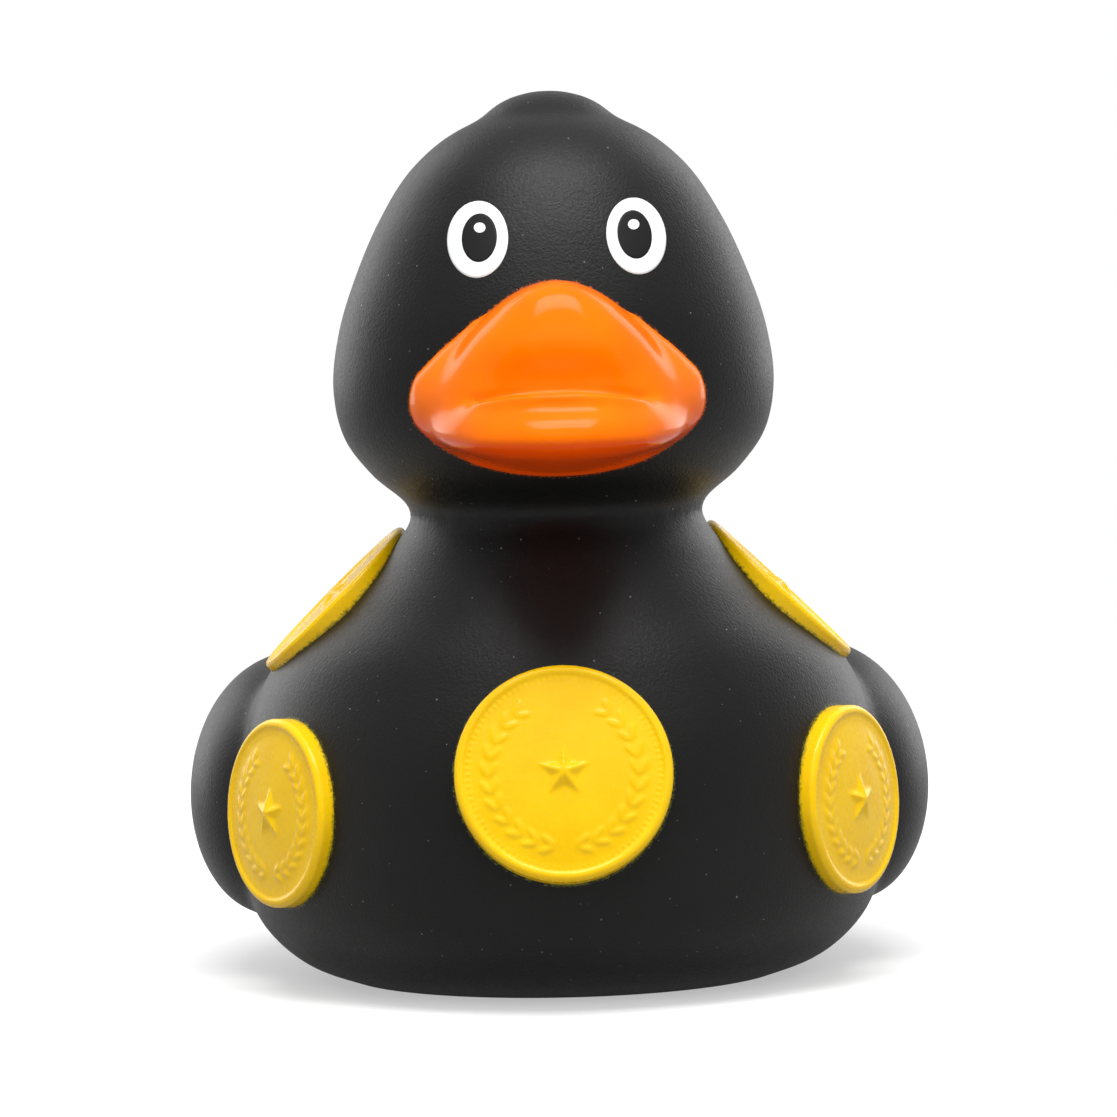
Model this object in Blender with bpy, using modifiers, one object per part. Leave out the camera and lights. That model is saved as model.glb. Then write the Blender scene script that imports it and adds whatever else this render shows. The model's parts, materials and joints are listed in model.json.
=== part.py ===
# A rubber duck moulded in one hollow piece of soft vinyl, with five raised coins on its
# breast, flanks and shoulders, and the small whistle that is pressed into its base.
# Metres, +Z up. The duck looks towards -Y and stands on the plane z = 0.

import math

import bmesh
import bpy
import numpy as np
from mathutils import Matrix, Vector
from mathutils.bvhtree import BVHTree

# Main levels of the trunk, each with its height, half width, front reach and back reach.
BASE_HALF_WIDTH = 0.0215
BASE_FRONT = 0.0225
BASE_BACK = 0.0190

BELLY_HEIGHT = 0.0160
BELLY_HALF_WIDTH = 0.0314
BELLY_FRONT = 0.0360
BELLY_BACK = 0.0320

NECK_HEIGHT = 0.0455
NECK_HALF_WIDTH = 0.0140
NECK_FRONT = 0.0233
NECK_BACK = 0.0052

FACE_HEIGHT = 0.0575
FACE_HALF_WIDTH = 0.0213
FACE_FRONT = 0.0308
FACE_BACK = 0.0122

CROWN_HEIGHT = 0.0845

# Vinyl wall, and how far the trunk runs on below the base before it is cut flat.
WALL = 0.0021
BELOW_BASE = 0.0040
BELOW_BASE_SHARE = 0.6
BELOW_BASE_SIZE = 0.62

# Wings: one on each side, rising from the flank and pointing back and up.
WING_FRONT = (0.0275, -0.0090, 0.0160)
WING_BEND = (0.0320, 0.0100, 0.0166)
WING_TIP = (0.0235, 0.0340, 0.0262)
WING_FRONT_HALF_HEIGHT = 0.0142
WING_TIP_HALF_HEIGHT = 0.0086
WING_FRONT_HALF_THICKNESS = 0.0098
WING_TIP_HALF_THICKNESS = 0.0058

# Tail: a flat taper that leaves the back and turns up.
TAIL_ROOT = (0.0, 0.0120, 0.0160)
TAIL_BEND = (0.0, 0.0345, 0.0180)
TAIL_TIP = (0.0, 0.0412, 0.0380)
TAIL_ROOT_HALF_WIDTH = 0.0180
TAIL_TIP_HALF_WIDTH = 0.0070
TAIL_ROOT_HALF_THICKNESS = 0.0108
TAIL_TIP_HALF_THICKNESS = 0.0030

# Tuft: a small knob on the crown that leans back.
TUFT_HALF_WIDTH = 0.0078
TUFT_HALF_THICKNESS = 0.0050
TUFT_LENGTH = 0.0150
TUFT_RISE = 0.0028
TUFT_FRONT_SHARE = 0.45
TUFT_FRONT_DROP = 0.0025
TUFT_BACK_SIZE = 0.8

# Beak, lower part: a flat lip plate that reaches forward from the head.
BILL_TIP = 0.0428
BILL_ROOT = 0.0270
BILL_HALF_WIDTH = 0.0122
BILL_ROUNDNESS = 12
LIP_CREST = 0.0580
LIP_SAG = 0.0020
LIP_VALLEY = 0.0009
LIP_RIM = 0.0538
LIP_FOOT = 0.0521
CHIN_DROP = 0.0028
CORNER_LIFT = 0.0016
UPPER_SET_BACK = 0.0010
MOUTH_HEIGHT = 0.0561
MOUTH_DEPTH = 0.0010
MOUTH_HALF_WIDTH = 0.0090
MOUTH_HALF_HEIGHT = 0.00085

# Beak, upper part: a hump whose levels widen and reach forward from a rounded top.
HUMP_TOP = 0.0675
HUMP_FOOT = 0.0545
HUMP_LEVEL = 0.0576
HUMP_HALF_WIDTH = 0.0118
HUMP_SPREAD = 1.2
HUMP_REACH = 0.0102
HUMP_BLUNTNESS = 0.18
HUMP_TUCK = 0.0009
HUMP_SQUARENESS = 2.4
HUMP_ROOT = 0.0040

# Cheeks: a pad that follows the head's front and carries the beak.
CHEEK_HEIGHT = 0.0564
CHEEK_HALF_WIDTH = 0.01385
CHEEK_ABOVE = 0.0112
CHEEK_BELOW = 0.0071
CHEEK_THICKNESS = 0.0016
CHEEK_TOP_THICKNESS = 0.0006
CHEEK_ROOT = 0.0030

# Coins: slightly domed discs that stand out of the skin, each with a rim and a star.
COIN_ROOT = 0.0032
COIN_RIM = 0.0011
COIN_RIM_RISE = 0.0003
COIN_EDGE = 0.0003
STAR_RADIUS = 0.0046
STAR_WAIST = 0.45
STAR_TOP = 0.12
STAR_RISE = 0.0006

# Each coin: its radius, relief and dome, then where it sits, as the angle from straight
# ahead and the height on the trunk, and how far it is turned from the skin's direction.
BREAST_COIN_RADIUS = 0.01005
BREAST_COIN_RELIEF = 0.0010
BREAST_COIN_DOME = 0.050
BREAST_COIN_HEIGHT = 0.0226
FLANK_COIN_RADIUS = 0.00895
FLANK_COIN_RELIEF = 0.0012
FLANK_COIN_DOME = 0.060
FLANK_COIN_ANGLE = math.radians(57.5)
FLANK_COIN_HEIGHT = 0.0178
FLANK_COIN_TURN = math.radians(-4)
SHOULDER_COIN_RADIUS = 0.0095
SHOULDER_COIN_RELIEF = 0.0009
SHOULDER_COIN_DOME = 0.900
SHOULDER_COIN_ANGLE = math.radians(84)
SHOULDER_COIN_HEIGHT = 0.0370
SHOULDER_COIN_TURN = math.radians(-8)
SEAT_REACH_SHARE = 0.6

# Whistle in the base: the flange sits in a recess, flush with the flat base or above it.
WHISTLE_RADIUS = 0.0055
WHISTLE_LENGTH = 0.0080
WHISTLE_AIR_HOLE = 0.0012
FLANGE_RADIUS = 0.0070
FLANGE_THICKNESS = 0.0010
WHISTLE_EDGE = 0.0005
PRESS_GAP = 0.0003
BASE_WALL = 0.0030

# Room that cutters and rays have beyond the duck.
CUTTER_SPAN = 0.2
CUTTER_DEPTH = 0.05
CUTTER_OVERSHOOT = 0.001

# Fineness of the moulded skin.
SKIN_VOXEL = 0.00065
SKIN_SMOOTHING = 10
SKIN_KEEP = 0.040
HOLLOW_VOXEL = 0.0013
HOLLOW_SMOOTHING = 3
HOLLOW_KEEP = 0.070

# Rows of the stretches between main levels: share of the way up, then share of the
# change in half width, front reach and back reach.
UNDER_ROWS = ((0.12, 0.45, 0.44, 0.42), (0.38, 0.86, 0.83, 0.81))
BREAST_ROWS = (
    (0.29, 0.04, 0.12, 0.04),
    (0.52, 0.22, 0.34, 0.19),
    (0.72, 0.59, 0.62, 0.50),
    (0.88, 0.87, 0.85, 0.82),
)
CHEEK_ROWS = ((0.33, 0.52, 0.52, 0.42), (0.60, 0.85, 0.85, 0.80))
# Rows of the dome: share of the way up, then share of the size left.
DOME_ROWS = ((0.20, 0.972), (0.42, 0.882), (0.61, 0.772), (0.78, 0.632), (0.91, 0.438), (0.98, 0.220))


def clear_scene():
    for thing in list(bpy.data.objects):
        bpy.data.objects.remove(thing)


def new_collection(name):
    collection = bpy.data.collections.new(name)
    bpy.context.scene.collection.children.link(collection)
    return collection


def plain_material(name, colour, roughness):
    material = bpy.data.materials.new(name)
    material.use_nodes = True
    shader = material.node_tree.nodes["Principled BSDF"]
    shader.inputs["Base Color"].default_value = (*colour, 1.0)
    shader.inputs["Roughness"].default_value = roughness
    shader.inputs["Metallic"].default_value = 0.0
    return material


def object_from(form, name, collection):
    mesh = bpy.data.meshes.new(name)
    bmesh.ops.recalc_face_normals(form, faces=form.faces)
    form.to_mesh(mesh)
    form.free()
    thing = bpy.data.objects.new(name, mesh)
    collection.objects.link(thing)
    return thing


def as_cutter(thing):
    thing.hide_render = True
    thing.display_type = "WIRE"
    return thing


# The trunk: body, neck and head as one lofted form.


def trunk_levels(inset):
    """Rows of height, half width, front and back, from under the base to the crown."""
    base = np.array((0.0, BASE_HALF_WIDTH, BASE_FRONT, BASE_BACK))
    belly = np.array((BELLY_HEIGHT, BELLY_HALF_WIDTH, BELLY_FRONT, BELLY_BACK))
    neck = np.array((NECK_HEIGHT, NECK_HALF_WIDTH, NECK_FRONT, NECK_BACK))
    face = np.array((FACE_HEIGHT, FACE_HALF_WIDTH, FACE_FRONT, FACE_BACK))
    below = base * BELOW_BASE_SIZE
    below[0] = -BELOW_BASE_SHARE * BELOW_BASE
    rows = [below, base]
    stretches = ((base, belly, UNDER_ROWS), (belly, neck, BREAST_ROWS), (neck, face, CHEEK_ROWS))
    for start, end, shares in stretches:
        for share in shares:
            rows.append(start + (end - start) * np.array(share))
        rows.append(end)
    axis = (face[3] - face[2]) / 2
    for rise, size in DOME_ROWS:
        height = FACE_HEIGHT + (CROWN_HEIGHT - FACE_HEIGHT) * rise
        depth = (face[3] + face[2]) / 2 * size
        rows.append(np.array((height, FACE_HALF_WIDTH * size, depth - axis, depth + axis)))
    rows = np.array(rows)
    rows[:, 1:] -= inset
    middle = (rows[:, 3] - rows[:, 2]) / 2
    foot = (-BELOW_BASE, 0.0, -middle[1], middle[1])
    crown = (CROWN_HEIGHT - inset, 0.0, -axis, axis)
    return np.vstack((foot, rows, crown))


def smooth_rows(rows, count):
    """Points at even steps along a smooth curve through the rows, round at both ends."""
    first = rows[1] * (1, -1, 1, 1)
    first[2:] = 2 * rows[0, 2:] - rows[1, 2:]
    last = rows[-2] * (1, -1, 1, 1)
    last[2:] = 2 * rows[-1, 2:] - rows[-2, 2:]
    knots = np.vstack((first, rows, last))
    gaps = np.linalg.norm(np.diff(knots[:, :2], axis=0), axis=1)
    slopes = np.diff(knots, axis=0) / gaps[:, None]
    ahead, behind = gaps[1:, None], gaps[:-1, None]
    tangents = (slopes[:-1] * ahead + slopes[1:] * behind) / (ahead + behind)
    along = np.concatenate(((0.0,), np.cumsum(gaps[1:-1])))
    spots = np.linspace(0.0, along[-1], count)
    index = np.clip(np.searchsorted(along, spots, side="right") - 1, 0, len(rows) - 2)
    step = (along[index + 1] - along[index])[:, None]
    share = (spots[:, None] - along[index][:, None]) / step
    rest = 1 - share
    return (
        rows[index] * (1 + 2 * share) * rest**2
        + rows[index + 1] * (3 - 2 * share) * share**2
        + tangents[index] * step * share * rest**2
        - tangents[index + 1] * step * rest * share**2
    )


def add_trunk(form, inset=0.0, columns=96, bands=96):
    ball = bmesh.ops.create_uvsphere(form, u_segments=columns, v_segments=bands, radius=1.0)
    outline = smooth_rows(trunk_levels(inset), bands + 1)
    for vertex in ball["verts"]:
        latitude = math.asin(max(-1.0, min(1.0, vertex.co.z)))
        band = round((latitude / math.pi + 0.5) * bands)
        height, half_width, front, back = outline[band]
        turn = math.atan2(vertex.co.y, vertex.co.x)
        on_axis = band in (0, bands)
        side = 0.0 if on_axis else math.cos(turn)
        depth = 0.0 if on_axis else math.sin(turn)
        middle = (back - front) / 2
        vertex.co = (half_width * side, middle + (back + front) / 2 * depth, height)


# Rounded forms along a bent path.


def add_bent_form(form, path, half_widths, half_thicknesses, across=(1, 0, 0), inset=0.0):
    """A ball stretched along a curve from the first to the last of three points."""
    start, bend, end = (Vector(point) for point in path)
    across = Vector(across).normalized()
    ball = bmesh.ops.create_uvsphere(form, u_segments=40, v_segments=40, radius=1.0)
    for vertex in ball["verts"]:
        side, rise, along = vertex.co
        share = (along + 1) / 2
        centre = start * (1 - share) ** 2 + bend * (2 * share * (1 - share)) + end * share**2
        tangent = ((bend - start) * (1 - share) + (end - bend) * share).normalized()
        normal = tangent.cross(across)
        width = half_widths[0] + (half_widths[1] - half_widths[0]) * share - inset
        thickness = half_thicknesses[0] + (half_thicknesses[1] - half_thicknesses[0]) * share - inset
        place = centre + across * (side * width) - normal * (rise * thickness)
        place -= tangent * (inset * along)
        vertex.co = place


def add_wings(form):
    for side in (1, -1):
        path = [(side * x, y, z) for x, y, z in (WING_FRONT, WING_BEND, WING_TIP)]
        half_heights = (WING_FRONT_HALF_HEIGHT, WING_TIP_HALF_HEIGHT)
        half_thicknesses = (WING_FRONT_HALF_THICKNESS, WING_TIP_HALF_THICKNESS)
        add_bent_form(form, path, half_heights, half_thicknesses, across=(0, 0, 1))


def add_tail(form, inset=0.0):
    half_widths = (TAIL_ROOT_HALF_WIDTH, TAIL_TIP_HALF_WIDTH)
    half_thicknesses = (TAIL_ROOT_HALF_THICKNESS, TAIL_TIP_HALF_THICKNESS)
    path = (TAIL_ROOT, TAIL_BEND, TAIL_TIP)
    add_bent_form(form, path, half_widths, half_thicknesses, inset=inset)


def add_tuft(form):
    axis = (FACE_BACK - FACE_FRONT) / 2
    top = CROWN_HEIGHT + TUFT_RISE - TUFT_HALF_THICKNESS
    path = (
        (0, axis - TUFT_LENGTH * TUFT_FRONT_SHARE, top - TUFT_FRONT_DROP),
        (0, axis, top),
        (0, axis + TUFT_LENGTH * (1 - TUFT_FRONT_SHARE), top),
    )
    half_widths = (TUFT_HALF_WIDTH, TUFT_HALF_WIDTH * TUFT_BACK_SIZE)
    half_thicknesses = (TUFT_HALF_THICKNESS, TUFT_HALF_THICKNESS * TUFT_BACK_SIZE)
    add_bent_form(form, path, half_widths, half_thicknesses)


# The beak. Each of its three forms is a ball whose points are moved to their places.


def smooth_step(low, high, value):
    share = min(max((value - low) / (high - low), 0.0), 1.0)
    return share * share * (3 - 2 * share)


def lip_place(side, back, rise):
    """Place on the lip plate, which has a groove round its rim and drops to the chin."""
    radius = math.hypot(side, back)
    closing = math.sqrt(max(0.0, 1 - radius**BILL_ROUNDNESS))
    x = BILL_HALF_WIDTH * side
    y = -BILL_ROOT + back * (BILL_TIP - BILL_ROOT)
    wide = side**2
    if rise > 0:
        edge = LIP_CREST - LIP_SAG * wide - LIP_VALLEY * (1 - smooth_step(0.80, 0.95, radius))
    else:
        behind = min(max((BILL_TIP + y) / (BILL_TIP - BILL_ROOT), 0.0), 1.0)
        edge = LIP_FOOT - CHIN_DROP * behind * (1 - wide) + CORNER_LIFT * wide
    z = LIP_RIM + (edge - LIP_RIM) * closing
    if back < 0:
        groove = math.exp(-(((z - MOUTH_HEIGHT) / MOUTH_HALF_HEIGHT) ** 2))
        groove *= max(0.0, 1 - (x / MOUTH_HALF_WIDTH) ** 2)
        inwards = MOUTH_DEPTH * groove + UPPER_SET_BACK * smooth_step(LIP_RIM, MOUTH_HEIGHT, z)
        y += inwards * radius**8
    return x, y, z


def hump_place(side, back, rise):
    """Place on the hump, whose lowest levels close inside the lip plate."""
    radius = max(math.hypot(side, back), 1e-9)
    along, across = back / radius, side / radius
    corner = max(abs(along) ** HUMP_SQUARENESS + abs(across) ** HUMP_SQUARENESS, 1e-9)
    corner **= -1 / HUMP_SQUARENESS
    z = HUMP_FOOT + (HUMP_TOP - HUMP_FOOT) * (1 + rise) / 2
    drop = min(max((HUMP_TOP - z) / (HUMP_TOP - HUMP_LEVEL), 0.0), HUMP_SPREAD)
    half_width = HUMP_HALF_WIDTH * math.sqrt(drop)
    reach = HUMP_REACH * min(drop, 1.0) ** HUMP_BLUNTNESS - HUMP_TUCK * smooth_step(0.5, 1.0, drop)
    closing = min(1.0, math.sqrt(max(0.0, (1 + rise) * 20)))
    x = half_width * closing * across * corner
    y = -BILL_ROOT + closing * along * corner * (reach if back < 0 else HUMP_ROOT)
    return x, y, z


def head_front(x, z, rows):
    """Depth of the trunk's front surface at a point seen from the front."""
    half_width, front, back = (np.interp(z, rows[:, 0], rows[:, column]) for column in (1, 2, 3))
    across = math.sqrt(max(0.02, 1 - (x / half_width) ** 2))
    return (back - front) / 2 - (back + front) / 2 * across


def cheek_place(side, back, rise, rows):
    """Place on the pad, which is pointed above and round below."""
    z = CHEEK_HEIGHT + rise * (CHEEK_ABOVE if rise > 0 else CHEEK_BELOW)
    level = math.sqrt(max(1e-9, 1 - rise**2))
    width = CHEEK_HALF_WIDTH * (level**2 if rise > 0 else level)
    x = width * side / level
    surface = head_front(x, z, rows)
    if back < 0:
        thinner = (CHEEK_TOP_THICKNESS - CHEEK_THICKNESS) * smooth_step(0.0, 0.8, rise)
        return x, surface - (CHEEK_THICKNESS + thinner) * math.sqrt(-back), z
    return x, surface + CHEEK_ROOT * math.sqrt(back), z


def add_beak(form):
    rows = smooth_rows(trunk_levels(0.0), 400)
    for place, columns, bands in ((lip_place, 80, 96), (hump_place, 64, 56), (cheek_place, 56, 48)):
        ball = bmesh.ops.create_uvsphere(form, u_segments=columns, v_segments=bands, radius=1.0)
        for vertex in ball["verts"]:
            if place is cheek_place:
                vertex.co = cheek_place(*vertex.co, rows)
            else:
                vertex.co = place(*vertex.co)


def smooth_skin(thing, voxel, repeats, keep):
    remesh = thing.modifiers.new("one skin", "REMESH")
    remesh.mode = "VOXEL"
    remesh.voxel_size = voxel
    smooth = thing.modifiers.new("soft joins", "SMOOTH")
    smooth.factor = 0.5
    smooth.iterations = repeats
    fewer = thing.modifiers.new("fewer faces", "DECIMATE")
    fewer.ratio = keep
    fewer.use_symmetry = True
    fewer.symmetry_axis = "X"


def boolean(thing, other, operation):
    modifier = thing.modifiers.new(f"{operation.lower()} {other.name}", "BOOLEAN")
    modifier.operation = operation
    modifier.solver = "EXACT"
    modifier.object = other


def make_block(name, size, place, collection):
    form = bmesh.new()
    bmesh.ops.create_cube(form, size=1.0, matrix=Matrix.Translation(place) @ Matrix.Diagonal((*size, 1.0)))
    return object_from(form, name, collection)


def make_disc(name, radius, low, high, collection, segments=48):
    form = bmesh.new()
    place = Matrix.Translation((0, 0, (low + high) / 2))
    bmesh.ops.create_cone(
        form, cap_ends=True, segments=segments, radius1=radius, radius2=radius, depth=high - low, matrix=place
    )
    return object_from(form, name, collection)


# The coins.


def trunk_tree():
    form = bmesh.new()
    add_trunk(form)
    bmesh.ops.recalc_face_normals(form, faces=form.faces)
    tree = BVHTree.FromBMesh(form)
    form.free()
    return tree


def seat_on(tree, angle, height, reach):
    """Point and outward direction of the plane through three points of the trunk."""
    level = (BELLY_BACK - BELLY_FRONT) / 2
    start = Vector((0, level, height))
    out = Vector((math.sin(angle), -math.cos(angle), 0))
    aside = Vector((0, 0, 1)).cross(out)
    hits = []
    for turn in (0, 120, 240):
        shift = reach * math.cos(math.radians(turn))
        rise = reach * math.sin(math.radians(turn))
        origin = start + aside * shift + Vector((0, 0, rise)) + out * CUTTER_SPAN
        hits.append(tree.ray_cast(origin, -out)[0])
    centre = tree.ray_cast(start + out * CUTTER_SPAN, -out)[0]
    normal = (hits[1] - hits[0]).cross(hits[2] - hits[0]).normalized()
    if normal.dot(out) < 0:
        normal = -normal
    return centre, normal


def make_coin(name, radius, relief, dome, centre, normal, collection):
    rim = relief + COIN_RIM_RISE
    field = radius - COIN_RIM - COIN_EDGE
    outline = (
        (0.0, relief),
        (field, relief),
        (field + COIN_EDGE, rim),
        (radius - COIN_EDGE, rim),
        (radius, rim - COIN_EDGE),
        (radius, -COIN_ROOT),
        (0.0, -COIN_ROOT),
    )
    profile = [(across, height - across**2 / (2 * dome)) for across, height in outline]
    form = bmesh.new()
    points = [form.verts.new((across, 0.0, height)) for across, height in profile]
    for one, two in zip(points, points[1:]):
        form.edges.new((one, two))
    mesh = bpy.data.meshes.new(name)
    form.to_mesh(mesh)
    form.free()
    coin = bpy.data.objects.new(name, mesh)
    collection.objects.link(coin)
    screw = coin.modifiers.new("turned", "SCREW")
    screw.steps = 36
    screw.render_steps = 36
    screw.use_merge_vertices = True
    screw.merge_threshold = 0.00001
    coin.matrix_world = Matrix.Translation(centre) @ normal.to_track_quat("Z", "Y").to_matrix().to_4x4()
    return as_cutter(coin)


def make_star(name, relief, coin, collection):
    form = bmesh.new()
    place = Matrix.Translation((0, 0, relief)) @ Matrix.Rotation(math.pi / 2, 4, "Z")
    cone = bmesh.ops.create_cone(
        form,
        cap_ends=True,
        segments=10,
        radius1=STAR_RADIUS,
        radius2=STAR_RADIUS * STAR_TOP,
        depth=STAR_RISE * 2,
        matrix=place,
    )
    for vertex in cone["verts"]:
        turn = math.degrees(math.atan2(vertex.co.y, vertex.co.x)) - 90
        if round(turn / 36) % 2:
            vertex.co.x *= STAR_WAIST
            vertex.co.y *= STAR_WAIST
    star = object_from(form, name, collection)
    star.matrix_world = coin.matrix_world
    return as_cutter(star)


def coin_kinds():
    breast = (BREAST_COIN_RADIUS, BREAST_COIN_RELIEF, BREAST_COIN_DOME)
    flank = (FLANK_COIN_RADIUS, FLANK_COIN_RELIEF, FLANK_COIN_DOME)
    shoulder = (SHOULDER_COIN_RADIUS, SHOULDER_COIN_RELIEF, SHOULDER_COIN_DOME)
    return (
        ("breast_coin", breast, 0.0, BREAST_COIN_HEIGHT, 0.0, (1,)),
        ("flank_coin", flank, FLANK_COIN_ANGLE, FLANK_COIN_HEIGHT, FLANK_COIN_TURN, (1, -1)),
        ("shoulder_coin", shoulder, SHOULDER_COIN_ANGLE, SHOULDER_COIN_HEIGHT, SHOULDER_COIN_TURN, (1, -1)),
    )


def add_coins(body, collection):
    tree = trunk_tree()
    for name, (radius, relief, dome), angle, height, turn, sides in coin_kinds():
        centre, normal = seat_on(tree, angle, height, radius * SEAT_REACH_SHARE)
        normal = Matrix.Rotation(turn, 3, "Z") @ normal
        for side in sides:
            seat = Vector((centre.x * side, centre.y, centre.z))
            facing = Vector((normal.x * side, normal.y, normal.z))
            label = f"{name}_{'left' if side < 0 else 'right'}"
            coin = make_coin(label, radius, relief, dome, seat, facing, collection)
            boolean(body, coin, "UNION")
            star = make_star(label + "_star", relief, coin, collection)
            boolean(body, star, "UNION")


# The two pieces.


def make_body(pieces, cutters):
    form = bmesh.new()
    add_trunk(form)
    add_wings(form)
    add_tail(form)
    add_tuft(form)
    add_beak(form)
    body = object_from(form, "duck_body", pieces)
    smooth_skin(body, SKIN_VOXEL, SKIN_SMOOTHING, SKIN_KEEP)

    slab = (CUTTER_SPAN, CUTTER_SPAN, CUTTER_DEPTH)
    floor = make_block("below_base", slab, (0, 0, -CUTTER_DEPTH / 2), cutters)
    boolean(body, as_cutter(floor), "DIFFERENCE")
    add_coins(body, cutters)

    inside = bmesh.new()
    add_trunk(inside, inset=WALL, columns=48, bands=48)
    add_tail(inside, inset=WALL)
    hollow = as_cutter(object_from(inside, "hollow", cutters))
    smooth_skin(hollow, HOLLOW_VOXEL, HOLLOW_SMOOTHING, HOLLOW_KEEP)
    sole = make_block("base_wall", slab, (0, 0, BASE_WALL - CUTTER_DEPTH / 2), cutters)
    boolean(hollow, as_cutter(sole), "DIFFERENCE")
    boolean(body, hollow, "DIFFERENCE")

    bore_top = BASE_WALL + CUTTER_OVERSHOOT
    bore = make_disc("whistle_bore", WHISTLE_RADIUS + PRESS_GAP, -CUTTER_OVERSHOOT, bore_top, cutters)
    boolean(body, as_cutter(bore), "DIFFERENCE")
    recess_top = FLANGE_THICKNESS + 2 * PRESS_GAP
    recess = make_disc("flange_recess", FLANGE_RADIUS + PRESS_GAP, -CUTTER_OVERSHOOT, recess_top, cutters)
    boolean(body, as_cutter(recess), "DIFFERENCE")
    return body


def make_whistle(pieces):
    low = PRESS_GAP
    profile = (
        (WHISTLE_AIR_HOLE, low + WHISTLE_LENGTH),
        (WHISTLE_RADIUS - WHISTLE_EDGE, low + WHISTLE_LENGTH),
        (WHISTLE_RADIUS, low + WHISTLE_LENGTH - WHISTLE_EDGE),
        (WHISTLE_RADIUS, low + FLANGE_THICKNESS),
        (FLANGE_RADIUS, low + FLANGE_THICKNESS),
        (FLANGE_RADIUS, low),
        (WHISTLE_AIR_HOLE, low),
        (WHISTLE_AIR_HOLE, low + WHISTLE_LENGTH),
    )
    form = bmesh.new()
    points = [form.verts.new((across, 0.0, height)) for across, height in profile[:-1]]
    for one, two in zip(points, points[1:] + points[:1]):
        form.edges.new((one, two))
    mesh = bpy.data.meshes.new("whistle")
    form.to_mesh(mesh)
    form.free()
    whistle = bpy.data.objects.new("whistle", mesh)
    pieces.objects.link(whistle)
    screw = whistle.modifiers.new("turned", "SCREW")
    screw.steps = 28
    screw.render_steps = 28
    screw.use_merge_vertices = True
    screw.merge_threshold = 0.00001
    return whistle


def main():
    clear_scene()
    pieces = new_collection("rubber_duck")
    cutters = new_collection("cutters")
    body = make_body(pieces, cutters)
    body.data.materials.append(plain_material("black_vinyl", (0.013, 0.013, 0.013), 0.55))
    whistle = make_whistle(pieces)
    whistle.data.materials.append(plain_material("whistle_plastic", (0.75, 0.75, 0.72), 0.4))


main()
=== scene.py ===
# A black rubber duck with five raised gold coins: its finished look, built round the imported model.
# Metres, +Z up. The duck looks towards -Y and stands on z = 0.
import json
import math

import bpy
import numpy as np
from mathutils import Matrix, Vector
from mathutils.bvhtree import BVHTree

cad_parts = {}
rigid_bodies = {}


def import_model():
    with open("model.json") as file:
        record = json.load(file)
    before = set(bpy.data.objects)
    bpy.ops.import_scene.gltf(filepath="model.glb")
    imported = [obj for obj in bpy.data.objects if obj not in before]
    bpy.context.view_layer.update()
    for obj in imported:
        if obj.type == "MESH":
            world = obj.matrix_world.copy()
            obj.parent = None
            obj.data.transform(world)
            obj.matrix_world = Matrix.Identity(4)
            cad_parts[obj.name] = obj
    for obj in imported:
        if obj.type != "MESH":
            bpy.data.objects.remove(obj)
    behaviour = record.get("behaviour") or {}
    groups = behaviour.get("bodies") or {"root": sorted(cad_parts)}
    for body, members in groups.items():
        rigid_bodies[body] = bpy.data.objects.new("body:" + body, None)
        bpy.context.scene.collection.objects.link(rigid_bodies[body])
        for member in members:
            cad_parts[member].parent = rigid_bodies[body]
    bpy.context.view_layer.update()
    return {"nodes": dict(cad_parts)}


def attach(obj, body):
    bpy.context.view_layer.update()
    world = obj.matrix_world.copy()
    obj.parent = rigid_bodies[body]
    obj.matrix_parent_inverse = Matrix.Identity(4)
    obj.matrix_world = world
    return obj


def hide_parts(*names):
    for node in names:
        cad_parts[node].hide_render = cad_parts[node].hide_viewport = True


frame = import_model()
print("frame loaded:", sorted(frame["nodes"]))

scene = bpy.context.scene
scene.view_settings.view_transform = "Standard"
for leftover in [thing for thing in bpy.data.objects if thing.name in ("Cube", "Light", "Camera")]:
    bpy.data.objects.remove(leftover)


# Mesh helpers: a form is (points, faces), with the points as an array and the faces as lists of indices.

def newObject(name, form):
    mesh = bpy.data.meshes.new(name)
    mesh.from_pydata(np.asarray(form[0]).tolist(), [], form[1])
    mesh.update()
    thing = bpy.data.objects.new(name, mesh)
    scene.collection.objects.link(thing)
    return thing


# place(x, y, z) maps the points of a unit ball to their places
def ballForm(columns, bands, place):
    turns = np.arange(columns) * (2 * math.pi / columns)
    tilts = (np.arange(1, bands) / bands - 0.5) * math.pi
    x = np.concatenate(([0.0], np.outer(np.cos(tilts), np.cos(turns)).ravel(), [0.0]))
    y = np.concatenate(([0.0], np.outer(np.cos(tilts), np.sin(turns)).ravel(), [0.0]))
    z = np.concatenate(([-1.0], np.repeat(np.sin(tilts), columns), [1.0]))
    last = len(x) - 1
    faces = []
    for c in range(columns):
        d = (c + 1) % columns
        faces.append((0, 1 + d, 1 + c))
        top = 1 + (bands - 2) * columns
        faces.append((last, top + c, top + d))
        for b in range(bands - 2):
            low = 1 + b * columns
            faces.append((low + c, low + d, low + columns + d, low + columns + c))
    return place(x, y, z), faces


def joinForms(forms):
    points = []
    faces = []
    start = 0
    for formPoints, formFaces in forms:
        points.append(np.asarray(formPoints))
        faces.extend([tuple(i + start for i in face) for face in formFaces])
        start += len(formPoints)
    return np.vstack(points), faces


# the evaluated mesh of an object, as a form
def formOf(thing):
    graph = bpy.context.evaluated_depsgraph_get()
    mesh = thing.evaluated_get(graph).to_mesh()
    points = np.empty(len(mesh.vertices) * 3)
    mesh.vertices.foreach_get("co", points)
    faces = [tuple(face.vertices) for face in mesh.polygons]
    return points.reshape(-1, 3), faces


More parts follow.
